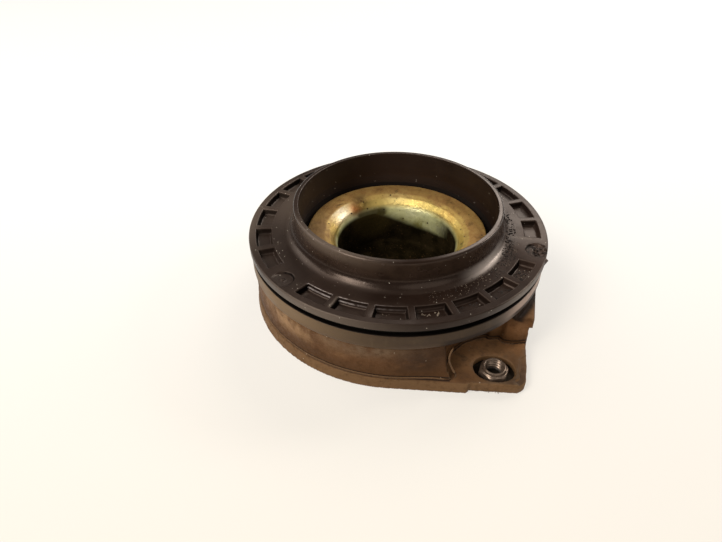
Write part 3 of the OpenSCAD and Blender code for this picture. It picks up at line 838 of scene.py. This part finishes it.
make_ring(
    "bearing_cap_moulding",
    [(RING_INNER_R, DRUM_Z, 0.2), (CAP_FOOT_R, DRUM_Z, 0.2), (CAP_FOOT_R, CAP_FOOT_Z, 0.2),
     (CAP_R, CAP_FOOT_Z, 1.3), (CAP_R, CAP_EDGE_Z, 0.4), (CAP_OUT_R, CAP_WALL_Z, 0.3),
     (CAP_OUT_R, CAP_FLOOR_Z, 0.2), (CAP_IN_R, CAP_FLOOR_Z, 0.2), (CAP_IN_R, CAP_WALL_Z, 0.3),
     (CAP_LIP_R, CAP_WALL_Z, 0.3), (CAP_LIP_R, CAP_LIP_Z, 0.2), (RING_INNER_R, 24, 0.2)],
    CAP_PLASTIC, "bearing_cap", longest=1.2, wobble=0.05,
)
make_ring(
    "inner_cup_pressing",
    [(ROD_HOLE_R, CUP_Z, 0.3), (CUP_R + CUP_T, CUP_Z, 2.4), (CUP_R + CUP_T, CUP_FLANGE_Z - CUP_T, 4.0),
     (CUP_FLANGE_R, CUP_FLANGE_Z - CUP_T, 0.7), (CUP_FLANGE_R, CUP_FLANGE_Z, 0.8), (CUP_R, CUP_FLANGE_Z, 8.8),
     (CUP_R, CUP_Z + CUP_T, 1.2), (ROD_HOLE_R, CUP_Z + CUP_T, 0.3)],
    ZINC_YELLOW, "inner_cup", longest=0.9, wobble=0.16,
)


# Rubber body

TORN_FAN = [(0, 0), (66, -14.2), (69.4, -12.6), (70.1, -14.1), (71.6, -14.6), (90, -22),
            (95, 45), (62, 36), (58.4, 32.2), (56.6, 33.4), (53, 31)]
PAD = [(67, -18.2), (62.5, -18.6), (57.5, -15), (53.5, -8.5), (52.2, -1), (53, 5.5), (54.6, 8.6), (56, 8.5),
       (58.1, 12.4), (60.5, 12.4), (63.2, 15.1), (65.5, 19.9), (72, 24), (90, 10), (90, -25), (70, -25)]
RIDGE = [(62.9, -17.4, 21.4), (62.7, -18.7, 18), (63.1, -19, 15.1), (64, -18.5, 12.4), (65.7, -17.4, 8.4),
         (65.7, -18, 6.4)]
PAD_EDGE = [(x, y, LIP_Z + 0.1) for x, y in PAD[7:12]]
PAD_EDGE_R, RIDGE_SPACING, SETTLE_REACH, SETTLE_TRIES = 0.28, 0.4, 6, 241
TORN_FROM, TORN_TO, TORN_OUT = np.array([71.2, -14.0]), np.array([80.5, -3.5]), np.array([0.75, -0.66, 0.0])
FIBRES, FIBRE_R, FIBRE_REACH, FIBRE_LOW_Z = 26, (0.1, 0.28), (0.3, 1.1), 0.15
GRID_STEPS = np.array([0.68, 0.68, 0.5])
GRID_LOW, GRID_HIGH = np.array([-83.5, -66.6, -0.7]), np.array([83.5, 66.6, 22.6])
GRID_SLAB = 40


def outline_distance(x, y):
    """Distance in plan to the base's outline, a disc with two ears, negative inside."""
    turn = math.radians(EAR_LEAN)
    along = np.abs(x * math.cos(turn) + y * math.sin(turn))
    across = np.abs(y * math.cos(turn) - x * math.sin(turn))
    lean = (LIP_R - EAR_TIP_R) / EAR_REACH
    side = math.sqrt(1 - lean * lean)
    past = side * along - lean * across
    straight = side * across + lean * along - LIP_R
    tip = np.hypot(along - EAR_REACH, across) - EAR_TIP_R
    disc = np.hypot(along, across) - LIP_R
    return np.where(past < 0, disc, np.where(past > side * EAR_REACH, tip, straight))


def rubber_field(x, y, z):
    """Distance to the rubber around the bearing, negative inside."""
    points = np.stack([x, y, z], -1)
    lumps = 0.1 * value_noise(points, 5.0, 11)
    ragged = 0.55 * value_noise(points, 2.2, 12) + 0.35 * value_noise(points, 1.1, 13)
    outline = outline_distance(x, y)
    r = np.hypot(x, y)
    turned_x, turned_y = np.where(x < 0, -x, x), np.where(x < 0, -y, y)

    leaning = turned_y < 0
    inset = SHOULDER_INSET + np.where(leaning, SHOULDER_LEAN, 0) * np.maximum(z - LIP_Z, 0)
    shoulder = smooth_max(outline + inset, z - np.where(leaning, DRUM_EDGE_Z, SHOULDER_Z), SHOULDER_ROUND)
    drum = smooth_max(r - DRUM_R, z - np.where(r > DRUM_EDGE_R, DRUM_EDGE_Z, DRUM_Z), DRUM_ROUND)
    body = smooth_min(shoulder, drum, 0.3 + np.where(leaning, 1.7, 0.2) * ease(turned_x, 35, 52))
    pad = polygon_distance(turned_x, turned_y, PAD) - PAD_FLARE * np.maximum(z - LIP_Z, 0)
    body = smooth_max(body, -np.maximum(pad - 0.3 * ragged, LIP_Z - z), PAD_ROUND)
    body = body + lumps

    lip = smooth_max(outline + 0.15 * z, z - LIP_Z, EDGE_ROUND)
    lip = np.maximum(lip, -polygon_distance(x, y, TORN_FAN) + 0.5 * ragged)
    broken = outline + TORN_WIDTH + np.where(z < TORN_LOW_Z, 0.7 + ragged, 0.15 * ragged)
    base = np.minimum(lip, smooth_max(broken, z - LIP_Z, EDGE_ROUND))
    body = np.minimum(body, base)
    worn_step = np.maximum(-outline - STEP_WIDTH + 0.6 * ragged, LIP_Z - STEP_DEPTH - z)
    worn_step = np.maximum(worn_step, -np.minimum(x - STEP_FROM[0], y - STEP_FROM[1]))
    body = smooth_max(body, -worn_step, EDGE_ROUND)
    groove = np.hypot(outline + SHOULDER_INSET - 0.1, z - LIP_Z - 0.35) - 0.5
    body = np.maximum(body, -groove)
    hooked = ease(y, HOOK_FROM, HOOK_TO) * (x > 0)
    below_hook = z - LIP_Z - (HOOK_Z - LIP_Z) * hooked
    past_hook = -outline - TORN_WIDTH - 1.1 * hooked - 0.3 * ragged
    under_hook = np.maximum(np.maximum(below_hook, past_hook), polygon_distance(x, y, TORN_FAN))
    body = smooth_max(body, -under_hook, EDGE_ROUND)

    turn = math.radians(NUT_HOLE_TURN)
    long_way = (turned_x - NUT_X) * math.cos(turn) + turned_y * math.sin(turn)
    short_way = turned_y * math.cos(turn) - (turned_x - NUT_X) * math.sin(turn)
    from_nut = np.hypot(long_way * NUT_HOLE_SHORT / NUT_HOLE_LONG, short_way)
    hole = np.maximum(from_nut - NUT_HOLE_SHORT - 0.12 * ragged, PLATE_T - z)
    body = smooth_max(body, -hole, EDGE_ROUND)
    plate = np.maximum(outline + PLATE_INSET, z - PLATE_T)
    body = np.maximum(body, -plate)
    return np.maximum(np.maximum(body, RING_INNER_R - r), -z)


def make_rubber():
    """The rubber around the bearing, sampled slab by slab, and the turned core between cup and plate."""
    count = np.ceil((GRID_HIGH - GRID_LOW) / GRID_STEPS).astype(int)
    across, deep, up = (GRID_LOW[axis] + GRID_STEPS[axis] * np.arange(count[axis]) for axis in range(3))
    field = np.empty(count)
    for start in range(0, count[0], GRID_SLAB):
        slab = slice(start, start + GRID_SLAB)
        field[slab] = rubber_field(*np.meshgrid(across[slab], deep, up, indexing="ij"))
    points, faces = surface_nets(field, GRID_LOW, GRID_STEPS)
    add_mesh("rubber_outer", points, faces, RUBBER, "mount", ["rubber_body"])
    core = refined(rounded([
        (CORE_IN_R, CORE_Z, 0), (CORE_FOOT_R, CORE_Z, 0.4), (CORE_FOOT_R, BOND_Z, 0), (BOND_R, BOND_Z, 0),
        (BOND_R, PLATE_T, 0), (CORE_OUT_R, PLATE_T, 0), (CORE_OUT_R, DRUM_Z, 0), (CORE_TOP_R, DRUM_Z, 1.5),
        (CORE_TOP_R, CUP_FLANGE_Z - CUP_T, 0.3), (CUP_R + CUP_T, CUP_FLANGE_Z - CUP_T, 4.0),
        (CUP_R + CUP_T, CUP_Z, 0), (CORE_IN_R, CUP_Z, 0),
    ]), 3)
    points = turned(core, CORE_COLUMNS)
    add_mesh("rubber_core", points, ring_faces(*points.shape[:2]), RUBBER, "mount", ["rubber_body"])


def settle(path, outward):
    """The path moved along a direction to where it first meets the rubber, from outside in."""
    reach = np.linspace(SETTLE_REACH, -SETTLE_REACH, SETTLE_TRIES)
    tries = path[:, None] + reach[None, :, None] * outward[:, None]
    first = np.argmax(rubber_field(tries[..., 0], tries[..., 1], tries[..., 2]) < 0, axis=1)
    return tries[np.arange(len(path)), first]


def make_ridge(name, path, outward, radius):
    """A thin moulded or worn ridge lying on the rubber."""
    add_tubes(name, [tube(settle(path, outward), radius, outward)], RUBBER, "mount")


def make_ridges():
    """The bead above the lip along both long sides, and the worn edges of the visible ear's pad."""
    for side, start in (("front", BEAD_START), ("back", BEAD_START + 180)):
        angles = np.radians(np.linspace(start, start - BEAD_SWEEP, BEAD_POINTS))
        outward = np.stack([np.cos(angles), np.sin(angles), 0 * angles], -1)
        rest = outward * LIP_R + np.array([0, 0, BEAD_Z])
        make_ridge("lip_bead_" + side, rest, outward, BEAD_R)
    for name, corners, radius in (("pad_ridge", RIDGE, BEAD_R), ("pad_edge", PAD_EDGE, PAD_EDGE_R)):
        path = eased_path(corners, RIDGE_SPACING)
        make_ridge(name, path, unit(np.array(CAMERA_PLACE) - path), radius)


def make_fibres():
    """Short threads hanging from the torn edge of the visible ear."""
    chance = np.random.default_rng(SEED + 41)
    fibres = []
    for start in np.sort(chance.uniform(0, 1, FIBRES)):
        foot = TORN_FROM + (TORN_TO - TORN_FROM) * start
        foot = settle(np.array([[*foot, chance.uniform(0.8, 2.2)]]), TORN_OUT[None])[0]
        lean = np.array([chance.normal(0, 0.5), chance.normal(0, 0.5), chance.uniform(-0.7, -0.1)])
        tip = TORN_OUT * chance.uniform(*FIBRE_REACH) + lean * chance.uniform(0.4, 0.9)
        bend = np.array([0.3, -0.1, 0.15]) * chance.normal(0, 1)
        path = np.array([foot + t * tip + t * (1 - t) * bend for t in np.linspace(-0.3, 1, 7)])
        path[:, 2] = np.maximum(path[:, 2], FIBRE_LOW_Z)
        fibres.append(tube(path, chance.uniform(*FIBRE_R), np.repeat([[0.0, 0.0, 1.0]], len(path), 0), 5))
    add_tubes("torn_fibres", fibres, RUBBER, "mount")


make_rubber()
make_ridges()
make_fibres()


# Nuts

NUT_FLAT_ANGLE, NUT_HALF, NUT_FOOT_R, NUT_COLUMNS = 34.0, 5.35, 5.0, 120
THREAD_PITCH, THREAD_MINOR_R, THREAD_MAJOR_R, THREAD_ROWS = 1.25, 3.35, 4.0, 45
# Heights up over the nut's chamfered top and collar, with the radius that cuts the hexagon there
NUT_TURNING = [(PLATE_T, 6.0), (3.0, 6.0), (4.0, 6.0), (4.4, 5.8), (4.7, 5.5), (4.95, 5.1), (5.05, 4.8),
               (5.3, 4.65), (5.9, 4.6), (6.2, 4.5), (6.35, 4.35), (NUT_Z, 4.15), (6.35, 3.9), (6.2, 3.7)]


def make_nut(name, centre_x):
    """A hexagonal weld nut with a chamfered top and a threaded bore."""
    angles = np.linspace(0, 2 * np.pi, NUT_COLUMNS, endpoint=False)
    from_flat = (angles - math.radians(NUT_FLAT_ANGLE) + np.pi / 6) % (np.pi / 3) - np.pi / 6
    rows = [(NUT_FOOT_R, 0.0), (NUT_FOOT_R, PLATE_T)]
    rows += [(np.minimum(NUT_HALF / np.cos(from_flat), limit), z) for z, limit in NUT_TURNING]
    for z in np.linspace(NUT_Z - 0.35, 0.2, THREAD_ROWS):
        phase = (z / THREAD_PITCH - angles / (2 * np.pi)) % 1
        rows.append((THREAD_MINOR_R + (THREAD_MAJOR_R - THREAD_MINOR_R) * np.abs(2 * phase - 1), z))
    rows.append((THREAD_MAJOR_R + 0.1, 0.0))
    points = np.array([
        np.stack([centre_x + r * np.cos(angles), r * np.sin(angles), z + 0 * angles], -1) for r, z in rows
    ])
    points[..., 2] += 0.02 * value_noise(points, 1.5, 21)
    add_mesh(name, points, ring_faces(*points.shape[:2]), NUT_STEEL, "mount", ["weld_nuts"])


make_nut("weld_nut_1", NUT_X)
make_nut("weld_nut_2", -NUT_X)


# Dirt on the seat

CRUMB_PROFILE, CRUMB_SIDES = np.array([(0.5, -0.5), (1.0, -0.2), (0.9, 0.35), (0.4, 0.7)]), 6


def seat_top(r):
    """Height of the seat's top at a radius outside the collar and clear of the pockets."""
    return FLANGE_Z + FILLET_R - np.sqrt(FILLET_R ** 2 - np.maximum(FILLET_END_R - r, 0) ** 2)


def make_crumbs(name, zones, material, seed):
    """Small jagged lumps sunk a little into the seat, over zones of angle, radius, depth, count and size."""
    chance = np.random.default_rng(SEED + seed)
    lump = turned(CRUMB_PROFILE, CRUMB_SIDES)
    crumbs = []
    for (from_angle, to_angle), (from_r, to_r), depth, count, (small, large) in zones:
        for _ in range(count):
            angle = math.radians(chance.uniform(from_angle, to_angle))
            r = chance.uniform(from_r, to_r)
            size = small + (large - small) * chance.uniform() ** 2
            place = np.array([r * math.cos(angle), r * math.sin(angle), seat_top(r) - depth])
            crumbs.append(place + size * lump * chance.uniform(0.6, 1.3, (len(lump), CRUMB_SIDES, 1)))
    add_tubes(name, crumbs, material, "seat")


make_crumbs("dark_crumbs", [
    ((26, 68), (47.6, 51.5), 0, 230, (0.15, 0.5)),
    ((10, 36), (48.5, 54.0), 0, 170, (0.1, 0.36)),
    ((-22, 14), (48.0, 54.4), 0, 80, (0.08, 0.24)),
    ((3, 12), (56.6, 60.5), POCKET_DEPTH, 22, (0.15, 0.45)),
    ((18, 27), (56.6, 60.8), POCKET_DEPTH, 46, (0.18, 0.55)),
    ((-12, -3), (56.8, 58.0), POCKET_DEPTH, 16, (0.12, 0.4)),
    ((0, 360), (48.0, 54.2), 0, 60, (0.1, 0.25)),
], DARK_DIRT, 31)
make_crumbs("pale_crumbs", [
    ((8, 60), (48.0, 53.5), 0, 110, (0.08, 0.24)),
    ((-22, 10), (48.0, 54.4), 0, 90, (0.08, 0.22)),
    ((18, 27), (56.6, 60.8), POCKET_DEPTH, 14, (0.1, 0.3)),
    ((-26, -19), (56.8, 58.6), POCKET_DEPTH, 16, (0.15, 0.5)),
    ((-41, -34), (56.8, 57.6), POCKET_DEPTH, 5, (0.12, 0.3)),
    ((0, 360), (48.0, 54.2), 0, 30, (0.1, 0.22)),
], PALE_DIRT, 32)


# Nodes that keep their solids' shape

NODE_MATERIALS = {
    "armature_plate": PLATE_STEEL, "cap_race": RACE_STEEL, "seat_race": RACE_STEEL,
    "outer_seal": SEAL_RUBBER, "inner_seal": SEAL_RUBBER, "ball_cage": CAGE_PLASTIC,
}
for node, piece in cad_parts.items():
    material = NODE_MATERIALS.get(node, BALL_STEEL if node.startswith("ball_") else None)
    if material:
        piece.data.materials.clear()
        piece.data.materials.append(material)


# Camera, floor and light

LAMP_DISTANCE, LAMP_AIM_Z = 1.1, 0.02
WARM, WORLD_LEVEL = (1.0, 0.95, 0.88), 0.18
FLOOR_HALF, FLOOR_GLOW, BELOW_NUT_R = 20.0, 0.62, 5
# Name, azimuth and elevation in degrees, size in metres, power in watts
LAMPS = [
    ("window", -129, 38, 0.5, 6.2), ("left", -64, 40, 0.72, 3.4), ("ceiling", -114, 59, 0.45, 3.8),
    ("back", 25, 43, 0.65, 5.3), ("side", 68, 31, 0.28, 4.0), ("fill", 150, 38, 0.9, 1.6),
]


def add_camera():
    data = bpy.data.cameras.new("camera")
    data.sensor_width = CAMERA_SENSOR
    data.lens = CAMERA_FOCAL / CAMERA_WIDTH * CAMERA_SENSOR
    camera = add_object("camera", data)
    turn = Matrix.Rotation(math.radians(CAMERA_TURN), 4, "Z")
    tilt = Matrix.Rotation(math.radians(90 - CAMERA_DOWN), 4, "X")
    roll = Matrix.Rotation(math.radians(CAMERA_ROLL), 4, "Z")
    camera.matrix_world = Matrix.Translation(Vector(CAMERA_PLACE) * MM) @ turn @ tilt @ roll
    bpy.context.scene.camera = camera


def add_floor():
    """A plain pale floor that also glows a little to the eye, with painted shade where the nuts' bores show
    it.
    """
    mesh = bpy.data.meshes.new("floor")
    corners = [(FLOOR_HALF * x, FLOOR_HALF * y, 0) for x, y in ((-1, -1), (1, -1), (1, 1), (-1, 1))]
    mesh.from_pydata(corners, [], [(0, 1, 2, 3)])
    floor = add_object("floor", mesh)
    g = Graph("floor")
    away = g.ease(g.along(NEARWARD), 200, -150)
    pale = g.mix(away, (0.83, 0.765, 0.66), (0.93, 0.9, 0.84))
    pale = g.mix(g.times(g.noise(400, 71), 0.15), pale, (0.95, 0.92, 0.87))
    path = g.add("LightPath").outputs
    seen = g.most(path["Is Camera Ray"], path["Is Glossy Ray"], path["Is Transmission Ray"])
    # Painted shade: the floor is dark and unlit under each nut's bore.
    for nut_x in (-NUT_X, NUT_X):
        nut_bore_shade = g.math("GREATER_THAN", g.near((nut_x, 0, 0), BELOW_NUT_R), 0.001)
        seen = g.times(seen, g.rest(nut_bore_shade))
        pale = g.mix(nut_bore_shade, pale, (0.03, 0.022, 0.015))
    g.set(Base_Color=pale, Roughness=0.8, Specular_IOR_Level=0.1)
    glow = g.feed(g.add("Emission"), g.mix(away, (0.88, 0.835, 0.765), (1.0, 1.0, 0.99)))[0]
    share = g.times(seen, FLOOR_GLOW)
    blend = g.feed(g.add("MixShader"), share, g.shader.outputs[0], glow)[0]
    g.fill(g.nodes["Material Output"], Surface=blend)
    mesh.materials.append(g.material)


def add_light(name, azimuth, elevation, size, power):
    """A soft round lamp; azimuth counts to the right from straight ahead of the camera."""
    data = bpy.data.lights.new(name, "AREA")
    data.shape = "DISK"
    data.size = size
    data.energy = power
    data.color = WARM
    light = add_object(name, data)
    heading = math.radians(CAMERA_TURN + 90 - azimuth)
    level = math.cos(math.radians(elevation))
    up = math.sin(math.radians(elevation))
    light.location = LAMP_DISTANCE * Vector((level * math.cos(heading), level * math.sin(heading), up))
    light.rotation_mode = "QUATERNION"
    light.rotation_quaternion = (Vector((0, 0, LAMP_AIM_Z)) - light.location).to_track_quat("-Z", "Y")


def add_world():
    world = bpy.data.worlds.new("studio")
    bpy.context.scene.world = world
    world.use_nodes = True
    background = world.node_tree.nodes["Background"]
    background.inputs["Color"].default_value = (*WARM, 1)
    background.inputs["Strength"].default_value = WORLD_LEVEL


add_camera()
add_floor()
add_world()
for lamp in LAMPS:
    add_light(*lamp)
bpy.context.scene.view_settings.view_transform = "Standard"
